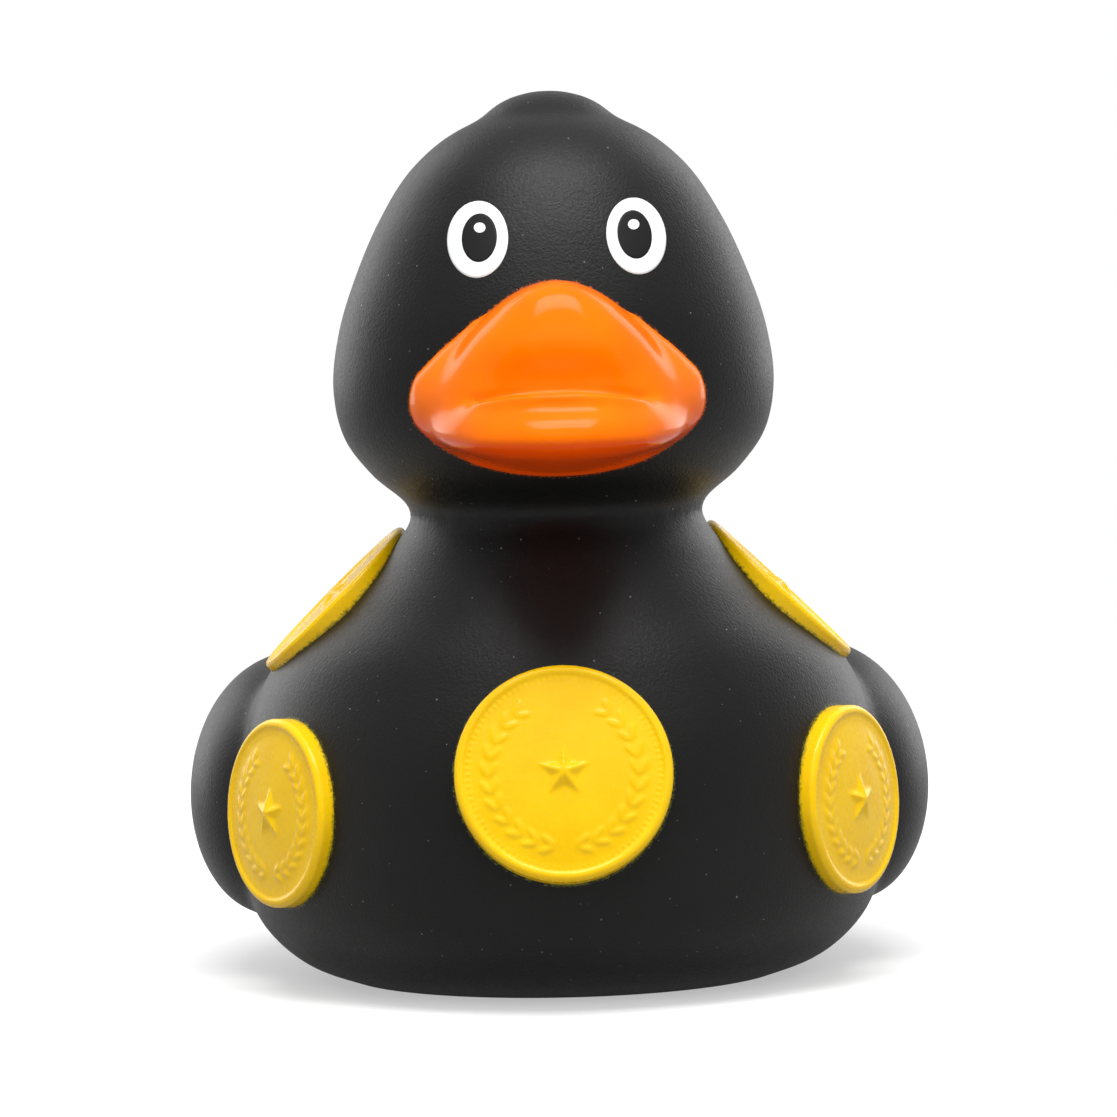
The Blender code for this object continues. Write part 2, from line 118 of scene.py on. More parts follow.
# turns an object with modifiers into a new one whose mesh holds their result
def madePlain(thing, name):
    graph = bpy.context.evaluated_depsgraph_get()
    mesh = bpy.data.meshes.new_from_object(thing.evaluated_get(graph))
    bpy.data.objects.remove(thing)
    mesh.name = name
    plain = bpy.data.objects.new(name, mesh)
    scene.collection.objects.link(plain)
    mesh.shade_smooth()
    return plain


def addSkin(thing, voxel, repeats):
    remesh = thing.modifiers.new("one skin", "REMESH")
    remesh.mode = "VOXEL"
    remesh.voxel_size = voxel
    smooth = thing.modifiers.new("soft joins", "SMOOTH")
    smooth.factor = 0.5
    smooth.iterations = repeats


def addBoolean(thing, other, operation):
    modifier = thing.modifiers.new(operation.lower(), "BOOLEAN")
    modifier.operation = operation
    modifier.solver = "EXACT"
    modifier.object = other


def coordinates(mesh):
    points = np.empty(len(mesh.vertices) * 3)
    mesh.vertices.foreach_get("co", points)
    return points.reshape(-1, 3)


# smooths a plain mesh where the share of a point is above zero
def softened(thing, share, repeats):
    group = thing.vertex_groups.new(name="soft")
    for level in range(1, 11):
        chosen = np.nonzero(np.round(share * 10) == level)[0]
        group.add(chosen.tolist(), level / 10, "REPLACE")
    smooth = thing.modifiers.new("soft part", "SMOOTH")
    smooth.factor = 0.5
    smooth.iterations = repeats
    smooth.vertex_group = "soft"
    return madePlain(thing, thing.name)


def treeOf(thing):
    points = [Vector(point) for point in coordinates(thing.data)]
    return BVHTree.FromPolygons(points, [tuple(face.vertices) for face in thing.data.polygons])


def writeAttribute(mesh, name, values):
    attribute = mesh.attributes.new(name, "FLOAT", "POINT")
    attribute.data.foreach_set("value", np.asarray(values, np.float32))


def smoothStep(low, high, values):
    share = np.clip((values - low) / (high - low), 0.0, 1.0)
    return share * share * (3 - 2 * share)


# Materials: small helpers for node trees, then one function for each finish.

def newMaterial(name):
    material = bpy.data.materials.new(name)
    material.use_nodes = True
    tree = material.node_tree
    return material, tree, tree.nodes["Principled BSDF"]


# adds a node, sets its properties and links its inputs, given as (input, socket or value)
def addNode(tree, kind, links=(), **settings):
    made = tree.nodes.new(kind)
    for key, value in settings.items():
        setattr(made, key, value)
    for key, source in links:
        if isinstance(source, bpy.types.NodeSocket):
            tree.links.new(source, made.inputs[key])
        else:
            made.inputs[key].default_value = source
    return made


def objectNoise(tree, scale, detail=2.0, rough=0.5):
    place = addNode(tree, "ShaderNodeTexCoord").outputs["Object"]
    made = addNode(tree, "ShaderNodeTexNoise", [("Vector", place), ("Scale", scale)])
    made.inputs["Detail"].default_value = detail
    made.inputs["Roughness"].default_value = rough
    return made.outputs["Fac"]


def mapped(tree, value, fromLow, fromHigh, toLow, toHigh, smooth=False):
    links = [(0, value), (1, fromLow), (2, fromHigh), (3, toLow), (4, toHigh)]
    kind = "SMOOTHSTEP" if smooth else "LINEAR"
    return addNode(tree, "ShaderNodeMapRange", links, interpolation_type=kind).outputs[0]


def maths(tree, operation, one, two=0.0, clamp=False):
    made = addNode(tree, "ShaderNodeMath", [(0, one), (1, two)], operation=operation)
    made.use_clamp = clamp
    return made.outputs[0]


def mixedColour(tree, share, one, two):
    made = tree.nodes.new("ShaderNodeMix")
    made.data_type = "RGBA"
    for index, source in ((0, share), (6, one), (7, two)):
        if isinstance(source, bpy.types.NodeSocket):
            tree.links.new(source, made.inputs[index])
        else:
            made.inputs[index].default_value = source if index == 0 else (*source, 1.0)
    return made.outputs[2]


# a colour that wanders softly between two tones
def wanderingColour(tree, scale, one, two):
    broad = objectNoise(tree, scale, 3.0)
    return mixedColour(tree, mapped(tree, broad, 0.35, 0.7, 0.0, 1.0), one, two)


# adds a bump to a shader's normal, over an earlier bump if there is one
def bumped(tree, shader, height, strength, distance, under=None):
    links = [("Height", height), ("Strength", strength), ("Distance", distance)]
    made = addNode(tree, "ShaderNodeBump", links)
    if under is not None:
        tree.links.new(under.outputs[0], made.inputs["Normal"])
    tree.links.new(made.outputs[0], shader.inputs["Normal"])
    return made


vinyl = {
    "colour": (0.0052, 0.0050, 0.0050),
    "faded": (0.0072, 0.0073, 0.0072),
    "dust": (0.26, 0.27, 0.26),
    "roughness": (0.36, 0.48),
    "specular": 0.22,
    "grainScale": 3600.0,       # one grain is about 0.28 mm
    "grainHeight": 0.00012,
    "dustScale": 1100.0,
    "dustSize": 0.11,
    "oliveSpray": (0.16, 0.17, 0.02),
    "orangeSpray": (0.34, 0.075, 0.008),
}


# colour and finish of the bare black vinyl, used alone or under paint
def vinylNodes(tree):
    fine = objectNoise(tree, vinyl["grainScale"], 3.0, 0.6)
    colour = wanderingColour(tree, 60.0, vinyl["colour"], vinyl["faded"])
    place = addNode(tree, "ShaderNodeTexCoord").outputs["Object"]
    cells = addNode(tree, "ShaderNodeTexVoronoi", [("Vector", place), ("Scale", vinyl["dustScale"])])
    lucky = addNode(tree, "ShaderNodeSeparateColor", [(0, cells.outputs["Color"])])
    size = mapped(tree, lucky.outputs[0], 0.45, 1.0, 0.0, vinyl["dustSize"])
    speck = maths(tree, "LESS_THAN", cells.outputs["Distance"], size)
    strength = maths(tree, "MULTIPLY", speck, mapped(tree, lucky.outputs[1], 0.0, 1.0, 0.15, 0.8))
    colour = mixedColour(tree, strength, colour, vinyl["dust"])
    roughness = mapped(tree, fine, 0.3, 0.7, *vinyl["roughness"])
    return colour, roughness, fine


def vinylMaterial():
    material, tree, shader = newMaterial("black vinyl")
    colour, roughness, fine = vinylNodes(tree)
    ragged = objectNoise(tree, 5200.0, 2.0, 0.7)
    for name, spray, reach in (("nearCoin", "oliveSpray", 0.22), ("nearBeak", "orangeSpray", 0.13)):
        distance = addNode(tree, "ShaderNodeAttribute", attribute_name=name).outputs["Fac"]
        wide = maths(tree, "ADD", distance, mapped(tree, ragged, 0.3, 0.7, -0.16, 0.16))
        share = mapped(tree, wide, 0.0, reach, 1.0, 0.0)
        colour = mixedColour(tree, share, colour, vinyl[spray])
    tree.links.new(colour, shader.inputs["Base Color"])
    tree.links.new(roughness, shader.inputs["Roughness"])
    shader.inputs["Specular IOR Level"].default_value = vinyl["specular"]
    broadDents = objectNoise(tree, 260.0, 2.0)
    soft = bumped(tree, shader, broadDents, 0.22, 0.00008)
    bumped(tree, shader, fine, 0.45, vinyl["grainHeight"], soft)
    return material


orangePaint = {
    "colour": (0.95, 0.182, 0.0006),
    "deep": (0.92, 0.150, 0.0004),
    # painted shade: a darker, redder orange for the beak's down-facing undersides
    "under": (0.92, 0.082, 0.0002),
    "thin": (0.10, 0.072, 0.010),
    "roughness": (0.13, 0.18),
    "specular": 0.11,
    "thinHeight": (0.0508, 0.0535),     # below these heights the paint at the corners is thin
    "thinAcross": (0.0078, 0.0125),
}


def orangeMaterial():
    material, tree, shader = newMaterial("orange paint")
    colour = wanderingColour(tree, 120.0, orangePaint["colour"], orangePaint["deep"])
    # painted shade: the orange turns darker and redder where the beak faces down
    under = addNode(tree, "ShaderNodeAttribute", attribute_name="facingDown").outputs["Fac"]
    colour = mixedColour(tree, under, colour, orangePaint["under"])
    place = addNode(tree, "ShaderNodeTexCoord").outputs["Object"]
    axes = addNode(tree, "ShaderNodeSeparateXYZ", [(0, place)])
    wide = maths(tree, "ABSOLUTE", axes.outputs["X"])
    corner = mapped(tree, wide, *orangePaint["thinAcross"], 0.0, 1.0, True)
    low = mapped(tree, axes.outputs["Z"], *orangePaint["thinHeight"], 1.0, 0.0, True)
    share = maths(tree, "MULTIPLY", corner, low)
    mottle = objectNoise(tree, 2400.0, 3.0, 0.7)
    thin = maths(tree, "MULTIPLY", share, mapped(tree, mottle, 0.42, 0.62, 0.0, 1.0), clamp=True)
    colour = mixedColour(tree, thin, colour, orangePaint["thin"])
    tree.links.new(colour, shader.inputs["Base Color"])
    fine = objectNoise(tree, 2600.0, 2.0)
    tree.links.new(mapped(tree, fine, 0.3, 0.7, *orangePaint["roughness"]), shader.inputs["Roughness"])
    shader.inputs["Specular IOR Level"].default_value = orangePaint["specular"]
    soft = bumped(tree, shader, objectNoise(tree, 420.0, 2.0), 0.20, 0.00006)
    bumped(tree, shader, fine, 0.12, 0.00002, soft)
    return material


yellowPaint = {
    "colour": (0.92, 0.575, 0.004),
    "deep": (0.88, 0.520, 0.002),
    "thin": (0.115, 0.120, 0.012),
    "roughness": (0.20, 0.30),
    "specular": 0.22,
}


# wallDepth runs from 0 at the rim's edge to 1 at the foot of the coin's wall
def yellowMaterial():
    material, tree, shader = newMaterial("yellow paint")
    black, blackRoughness, grain = vinylNodes(tree)
    colour = wanderingColour(tree, 200.0, yellowPaint["colour"], yellowPaint["deep"])
    foot = addNode(tree, "ShaderNodeAttribute", attribute_name="wallDepth").outputs["Fac"]
    mottle = objectNoise(tree, 3000.0, 3.0, 0.75)
    ragged = maths(tree, "ADD", foot, mapped(tree, mottle, 0.3, 0.7, -0.14, 0.14))
    colour = mixedColour(tree, mapped(tree, ragged, 0.78, 1.0, 0.0, 0.8), colour, yellowPaint["thin"])
    bare = mapped(tree, ragged, 0.98, 1.08, 0.0, 1.0)
    colour = mixedColour(tree, bare, colour, black)
    tree.links.new(colour, shader.inputs["Base Color"])
    fine = objectNoise(tree, 2600.0, 2.0)
    tree.links.new(mapped(tree, fine, 0.3, 0.7, *yellowPaint["roughness"]), shader.inputs["Roughness"])
    shader.inputs["Specular IOR Level"].default_value = yellowPaint["specular"]
    soft = bumped(tree, shader, objectNoise(tree, 700.0, 3.0), 0.6, 0.00009)
    bumped(tree, shader, fine, 0.25, 0.00003, soft)
    return material


def eyeMaterial(name, colour, spots, roughness):
    material, tree, shader = newMaterial(name)
    mottle = objectNoise(tree, 3800.0, 3.0, 0.7)
    tone = mixedColour(tree, mapped(tree, mottle, 0.62, 0.74, 0.0, 0.5), colour, spots)
    tree.links.new(tone, shader.inputs["Base Color"])
    tree.links.new(mapped(tree, mottle, 0.3, 0.7, roughness, roughness + 0.1), shader.inputs["Roughness"])
    shader.inputs["Specular IOR Level"].default_value = 0.25
    bumped(tree, shader, objectNoise(tree, 2600.0, 2.0), 0.25, 0.00003)
    return material


def whistleMaterial():
    material, tree, shader = newMaterial("whistle plastic")
    broad = objectNoise(tree, 300.0, 3.0)
    tone = mixedColour(tree, broad, (0.72, 0.72, 0.68), (0.80, 0.80, 0.77))
    tree.links.new(tone, shader.inputs["Base Color"])
    tree.links.new(mapped(tree, broad, 0.3, 0.7, 0.34, 0.46), shader.inputs["Roughness"])
    bumped(tree, shader, objectNoise(tree, 2000.0, 2.0), 0.2, 0.00004)
    return material


# The trunk: body, neck and head as one lofted form, with height, half width, front and back reach.

trunk = {
    "base": (0.0, 0.0215, 0.0225, 0.0190),
    "belly": (0.0160, 0.0314, 0.0360, 0.0320),
    "neck": (0.0455, 0.0140, 0.0233, 0.0052),
    "face": (0.0575, 0.0213, 0.0308, 0.0122),
    "crown": 0.0845,
    "belowBase": 0.0040,        # how far the form runs on below the flat base
    "belowShare": 0.6,
    "belowSize": 0.62,
    "wall": 0.0021,
    "baseWall": 0.0030,
    "underRows": ((0.12, 0.45, 0.44, 0.42), (0.38, 0.86, 0.83, 0.81)),
    "breastRows": (
        (0.29, 0.04, 0.12, 0.04),
        (0.52, 0.22, 0.34, 0.19),
        (0.72, 0.59, 0.62, 0.50),
        (0.88, 0.87, 0.85, 0.82),
    ),
    "cheekRows": ((0.33, 0.52, 0.52, 0.42), (0.60, 0.85, 0.85, 0.80)),
    "domeRows": ((0.20, 0.972), (0.42, 0.882), (0.61, 0.772), (0.78, 0.632), (0.91, 0.438), (0.98, 0.220)),
    "voxel": 0.00050,
    "smoothing": 14,
    "crownFrom": (0.0810, 0.0830),      # heights between which the tuft's foot softens
    "crownSmoothing": 14,
}
headAxis = (trunk["face"][3] - trunk["face"][2]) / 2


def trunkRows(inset):
    base, belly, neck, face = (np.array(trunk[key]) for key in ("base", "belly", "neck", "face"))
    below = base * trunk["belowSize"]
    below[0] = -trunk["belowShare"] * trunk["belowBase"]
    rows = [below, base]
    spans = ((base, belly, "underRows"), (belly, neck, "breastRows"), (neck, face, "cheekRows"))
    for start, end, shares in spans:
        rows.extend(start + (end - start) * np.array(share) for share in trunk[shares])
        rows.append(end)
    for rise, size in trunk["domeRows"]:
        height = face[0] + (trunk["crown"] - face[0]) * rise
        depth = (face[3] + face[2]) / 2 * size
        rows.append(np.array((height, face[1] * size, depth - headAxis, depth + headAxis)))
    rows = np.array(rows)
    rows[:, 1:] -= inset
    middle = (rows[0, 3] - rows[0, 2]) / 2
    foot = (-trunk["belowBase"], 0.0, -middle, middle)
    crown = (trunk["crown"] - inset, 0.0, -headAxis, headAxis)
    return np.vstack((foot, rows, crown))


# points at even steps along a smooth curve through the rows, round at both ends
def smoothRows(rows, count):
    first = rows[1] * (1, -1, 1, 1)
    first[2:] = 2 * rows[0, 2:] - rows[1, 2:]
    last = rows[-2] * (1, -1, 1, 1)
    last[2:] = 2 * rows[-1, 2:] - rows[-2, 2:]
    knots = np.vstack((first, rows, last))
    gaps = np.linalg.norm(np.diff(knots[:, :2], axis=0), axis=1)
    slopes = np.diff(knots, axis=0) / gaps[:, None]
    ahead, behind = gaps[1:, None], gaps[:-1, None]
    tangents = (slopes[:-1] * ahead + slopes[1:] * behind) / (ahead + behind)
    along = np.concatenate(((0.0,), np.cumsum(gaps[1:-1])))
    spots = np.linspace(0.0, along[-1], count)
    index = np.clip(np.searchsorted(along, spots, side="right") - 1, 0, len(rows) - 2)
    step = (along[index + 1] - along[index])[:, None]
    share = (spots[:, None] - along[index][:, None]) / step
    rest = 1 - share
    return (
        rows[index] * (1 + 2 * share) * rest**2
        + rows[index + 1] * (3 - 2 * share) * share**2
        + tangents[index] * step * share * rest**2
        - tangents[index + 1] * step * rest * share**2
    )


def trunkForm(inset=0.0, columns=192, bands=192):
    outline = smoothRows(trunkRows(inset), bands + 1)

    def place(x, y, z):
        band = np.round((np.arcsin(np.clip(z, -1, 1)) / math.pi + 0.5) * bands).astype(int)
        height, halfWidth, front, back = outline[band].T
        reach = np.maximum(np.hypot(x, y), 1e-9)
        onAxis = (band == 0) | (band == bands)
        side = np.where(onAxis, 0.0, x / reach)
        depth = np.where(onAxis, 0.0, y / reach)
        return np.stack((halfWidth * side, (back - front) / 2 + (back + front) / 2 * depth, height), axis=1)

    return ballForm(columns, bands, place)


# a ball stretched along a curve through three points
def bentForm(path, halfWidths, halfThicknesses, across=(1, 0, 0), inset=0.0, columns=96, bands=96):
    start, bend, end = (np.array(point, float) for point in path)
    across = np.array(across, float)

    def place(side, rise, along):
        share = ((along + 1) / 2)[:, None]
        centre = start * (1 - share) ** 2 + bend * (2 * share * (1 - share)) + end * share**2
        tangent = (bend - start) * (1 - share) + (end - bend) * share
        tangent /= np.linalg.norm(tangent, axis=1, keepdims=True)
        normal = np.cross(tangent, across)
        width = halfWidths[0] + (halfWidths[1] - halfWidths[0]) * share - inset
        thickness = halfThicknesses[0] + (halfThicknesses[1] - halfThicknesses[0]) * share - inset
        place = centre + across * (side[:, None] * width) - normal * (rise[:, None] * thickness)
        return place - tangent * (inset * along[:, None])

    return ballForm(columns, bands, place)


wing = {
    "front": (0.0275, -0.0090, 0.0160),
    "bend": (0.0320, 0.0100, 0.0166),
    "tip": (0.0235, 0.0340, 0.0262),
    "halfHeights": (0.0142, 0.0086),
    "halfThicknesses": (0.0098, 0.0058),
}
tail = {
    "path": ((0, 0.0120, 0.0160), (0, 0.0345, 0.0180), (0, 0.0412, 0.0380)),
    "halfWidths": (0.0180, 0.0070),
    "halfThicknesses": (0.0108, 0.0030),
}
tuft = {
    "halfWidth": 0.0078,
    "halfThickness": 0.0050,
    "length": 0.0150,
    "rise": 0.0028,
    "frontShare": 0.45,
    "frontDrop": 0.0025,
    "backSize": 0.8,
}


def wingForms():
    for side in (1, -1):
        path = [(side * x, y, z) for x, y, z in (wing["front"], wing["bend"], wing["tip"])]
        yield bentForm(path, wing["halfHeights"], wing["halfThicknesses"], across=(0, 0, 1))


def tailForm(inset=0.0):
    return bentForm(tail["path"], tail["halfWidths"], tail["halfThicknesses"], inset=inset)


def tuftForm():
    top = trunk["crown"] + tuft["rise"] - tuft["halfThickness"]
    path = (
        (0, headAxis - tuft["length"] * tuft["frontShare"], top - tuft["frontDrop"]),
        (0, headAxis, top),
        (0, headAxis + tuft["length"] * (1 - tuft["frontShare"]), top),
    )
    halfWidths = (tuft["halfWidth"], tuft["halfWidth"] * tuft["backSize"])
    halfThicknesses = (tuft["halfThickness"], tuft["halfThickness"] * tuft["backSize"])
    return bentForm(path, halfWidths, halfThicknesses)


def blockForm(half, low, high):
    x, y = (-half, half, half, -half), (-half, -half, half, half)
    points = [(x[i], y[i], z) for z in (low, high) for i in range(4)]
    faces = [(3, 2, 1, 0), (4, 5, 6, 7), (0, 1, 5, 4), (1, 2, 6, 5), (2, 3, 7, 6), (3, 0, 4, 7)]
    return np.array(points), faces


def discForm(radius, low, high, segments=96):
    turns = np.arange(segments) * (2 * math.pi / segments)
    ring = np.stack((radius * np.cos(turns), radius * np.sin(turns), np.full(segments, low)), axis=1)
    points = np.vstack((ring, ring + (0, 0, high - low)))
    faces = [tuple(range(segments))[::-1], tuple(range(segments, 2 * segments))]
    faces += [(i, (i + 1) % segments, segments + (i + 1) % segments, segments + i) for i in range(segments)]
    return points, faces


bore = {"radius": 0.0058, "recessRadius": 0.0073, "recessTop": 0.0016}


def makeSkin():
    forms = [trunkForm(), *wingForms(), tailForm(), tuftForm()]
    skin = newObject("duckSkin", joinForms(forms))
    addSkin(skin, trunk["voxel"], trunk["smoothing"])
    hollow = newObject("hollow", joinForms([trunkForm(trunk["wall"], 64, 64), tailForm(trunk["wall"])]))
    addSkin(hollow, 0.0013, 3)
    sole = newObject("sole", blockForm(0.1, -0.05, trunk["baseWall"]))
    addBoolean(hollow, sole, "DIFFERENCE")
    cutters = [
        newObject("floorCut", blockForm(0.1, -0.05, 0.0)),
        madePlain(hollow, "hollowCut"),
        newObject("boreCut", discForm(bore["radius"], -0.001, trunk["baseWall"] + 0.001)),
        newObject("recessCut", discForm(bore["recessRadius"], -0.001, bore["recessTop"])),
    ]
    for cutter in cutters:
        addBoolean(skin, cutter, "DIFFERENCE")
    skin = madePlain(skin, "duckSkin")
    for cutter in [sole, *cutters]:
        bpy.data.objects.remove(cutter)
    share = smoothStep(*trunk["crownFrom"], coordinates(skin.data)[:, 2])
    skin = softened(skin, share, trunk["crownSmoothing"])
    print("skin:", len(skin.data.polygons), "faces")
    return skin


# The beak: a flat lip plate, a hump that rises from it, and a pad on the head that carries both.

bill = {
    "tip": 0.0428,
    "root": 0.0270,
    "halfWidth": 0.0122,
    "lipCrest": 0.0580,
    "lipSag": 0.0020,
    "lipValley": 0.0009,
    "valleyEdge": (0.80, 0.95),
    "lipFoot": 0.0515,
    "chinDrop": 0.0020,
    "rimHeight": 0.0530,
    "cornerLift": 0.0016,
    "roundness": 12,
    "upperSetBack": 0.0010,
    "mouthHeight": 0.0562,
    "mouthDepth": 0.0010,
    "mouthReach": 8,            # the higher, the closer the groove keeps to the tip
    "mouthHalfWidth": 0.0094,
    "mouthHalfHeight": 0.00115,
    "voxel": 0.00022,
    "smoothing": 7,
    "cornerFrom": (0.0074, 0.0104),     # half widths between which the corners soften
    "cornerTo": (0.0120, 0.0134),       # and beyond which the pad's edge stays
    "cornerSmoothing": 260,
}
hump = {
    "top": 0.0675,
    "foot": 0.0524,
    "rounding": 0.0036,
    "halfWidth": 0.0118,
    "level": 0.0576,
    "reach": 0.0102,
    "bluntness": 0.18,
    "spread": 1.04,
    "tuck": 0.0009,
    "tuckFrom": 0.5,
    "squareness": 2.4,
    "depth": 0.0040,
}
cheeks = {
    "height": 0.0564,
    "halfWidth": 0.01385,
    "above": 0.0112,        # from the widest level up to the point at the brow
    "below": 0.0071,
    "thickness": 0.0016,
    "thinAtTop": 0.0006,
    "thinBy": 0.8,
    "depth": 0.0030,
    "swelling": 0.0036,     # extra thickness round the corners of the mouth
    "cornerAcross": 0.0112,
    "cornerHeight": 0.0553,
    "cornerReach": (0.0026, 0.0042),
}


def billPlace(side, back, rise):
    radius = np.hypot(side, back)
    closing = np.sqrt(np.maximum(0.0, 1 - radius ** bill["roundness"]))
    x = bill["halfWidth"] * side
    y = -bill["root"] + back * (bill["tip"] - bill["root"])
    rim = bill["rimHeight"]
    wide = (x / bill["halfWidth"]) ** 2
    valley = bill["lipValley"] * (1 - smoothStep(*bill["valleyEdge"], radius))
    top = bill["lipCrest"] - bill["lipSag"] * wide - valley
    # the lower side drops back from the lip to the chin and lifts towards the corners
    behind = np.clip((bill["tip"] + y) / (bill["tip"] - bill["root"]), 0.0, 1.0)
    foot = bill["lipFoot"] - bill["chinDrop"] * behind * (1 - wide) + bill["cornerLift"] * wide
    z = rim + (np.where(rise > 0, top, foot) - rim) * closing
    groove = np.exp(-(((z - bill["mouthHeight"]) / bill["mouthHalfHeight"]) ** 2))
    groove *= np.sqrt(np.maximum(0.0, 1 - (x / bill["mouthHalfWidth"]) ** 2))
    inwards = bill["mouthDepth"] * groove + bill["upperSetBack"] * smoothStep(rim, bill["mouthHeight"], z)
    y = y + np.where(back < 0, inwards * radius ** bill["mouthReach"], 0.0)
    return np.stack((x, y, z), axis=1)


# levels that widen and reach forward from a rounded top down to the lip plate
def humpPlace(side, back, rise):
    radius = np.maximum(np.hypot(side, back), 1e-9)
    along, across = back / radius, side / radius
    corner = np.abs(along) ** hump["squareness"] + np.abs(across) ** hump["squareness"]
    corner = np.maximum(corner, 1e-9) ** (-1 / hump["squareness"])
    z = hump["foot"] + (hump["top"] - hump["foot"]) * (1 + rise) / 2
    drop = np.clip((hump["top"] - z) / (hump["top"] - hump["level"]), 0.0, hump["spread"])
    halfWidth = hump["halfWidth"] * np.sqrt(drop)
    reach = hump["reach"] * np.minimum(drop, 1.0) ** hump["bluntness"]
    reach -= hump["tuck"] * smoothStep(hump["tuckFrom"], 1.0, drop)
    # the lowest levels round off inside the lip plate
    under = np.clip((hump["foot"] + hump["rounding"] - z) / hump["rounding"], 0.0, 1.0)
    closing = np.sqrt(np.maximum(0.0, 1 - under**2))
    x = halfWidth * closing * across * corner
    y = -bill["root"] + closing * along * corner * np.where(back < 0, reach, hump["depth"])
    return np.stack((x, y, z), axis=1)


# depth of the trunk's front surface at each point seen from the front
def headFront(x, z):
    rows = smoothRows(trunkRows(0.0), 400)
    halfWidth, front, back = (np.interp(z, rows[:, 0], rows[:, column]) for column in (1, 2, 3))
    across = np.sqrt(np.maximum(0.02, 1 - (x / halfWidth) ** 2))
    return (back - front) / 2 - (back + front) / 2 * across


# a pad on the head, pointed above and round below
def cheekPlace(side, back, rise):
    z = cheeks["height"] + rise * np.where(rise > 0, cheeks["above"], cheeks["below"])
    level = np.sqrt(np.maximum(1e-9, 1 - rise**2))
    width = cheeks["halfWidth"] * np.where(rise > 0, level**2, level)
    x = width * side / level
    surface = headFront(x, z)
    thinner = smoothStep(0.0, cheeks["thinBy"], rise)
    thickness = cheeks["thickness"] + (cheeks["thinAtTop"] - cheeks["thickness"]) * thinner
    aside = (np.abs(x) - cheeks["cornerAcross"]) / cheeks["cornerReach"][0]
    aloft = (z - cheeks["cornerHeight"]) / cheeks["cornerReach"][1]
    thickness = thickness + cheeks["swelling"] * np.exp(-(aside**2) - aloft**2)
    fullness = np.sqrt(np.abs(back))
    outer = surface - thickness * fullness
    inner = surface + cheeks["depth"] * fullness
    return np.stack((x, np.where(back < 0, outer, inner), z), axis=1)


def makeBeak():
    forms = [ballForm(320, 280, billPlace), ballForm(240, 240, humpPlace), ballForm(160, 160, cheekPlace)]
    beak = newObject("beak", joinForms(forms))
    addSkin(beak, bill["voxel"], bill["smoothing"])
    beak = madePlain(beak, "beak")
    # the corners of lip and hump flow into the pad
    aside = np.abs(coordinates(beak.data)[:, 0])
    share = smoothStep(*bill["cornerFrom"], aside) * (1 - smoothStep(*bill["cornerTo"], aside))
    beak = softened(beak, share, bill["cornerSmoothing"])
    normals = np.empty(len(beak.data.vertices) * 3)
    beak.data.vertices.foreach_get("normal", normals)
    # the share of facing down at each point, which paints shade on the beak's underside
    writeAttribute(beak.data, "facingDown", smoothStep(-0.15, 0.75, -normals[2::3]))
    print("beak:", len(beak.data.polygons), "faces")
    return beak


# The coins: domed discs with a rim, a ring of teeth, a wreath and a star.

coin = {
    "root": 0.0032,
    "rim": 0.0007,
    "rimRise": 0.0003,
    "edge": 0.0003,
    "starRadius": 0.0046,
    "starWaist": 0.45,
    "starRise": 0.0006,
    "starTop": 0.12,
    "teeth": 96,
    "toothInset": 0.00120,
    "toothSize": (0.00060, 0.00026, 0.00020),     # length, width, height
    "leaves": 11,
    "leafInset": 0.00315,
    "leafSize": (0.00170, 0.00062, 0.00030),
    "leafTilt": 28.0,
    "leafRow": 0.00042,
    "wreathGap": 14.0,
    "wreathSweep": 132.0,
    "seatShare": 0.6,
    "wallFrom": 0.00035,
    "wallLeast": 0.0003,
    "voxel": 0.00015,
    "smoothing": 3,
}
# Right and Left, here and for the eyes, are as the viewer in front sees them
bothSides = (("Right", 1), ("Left", -1))
# name, radius, relief, dome radius, degrees from straight ahead, height, degrees of turn, sides
coinSeats = (
    ("breastCoin", 0.01005, 0.0010, 0.050, -0.7, 0.0224, 0, (("", 1),)),
    ("flankCoin", 0.00895, 0.0012, 0.060, 57.5, 0.0178, -4, bothSides),
    ("shoulderCoin", 0.0095, 0.0007, 0.900, 84, 0.0370, -8, bothSides),
)


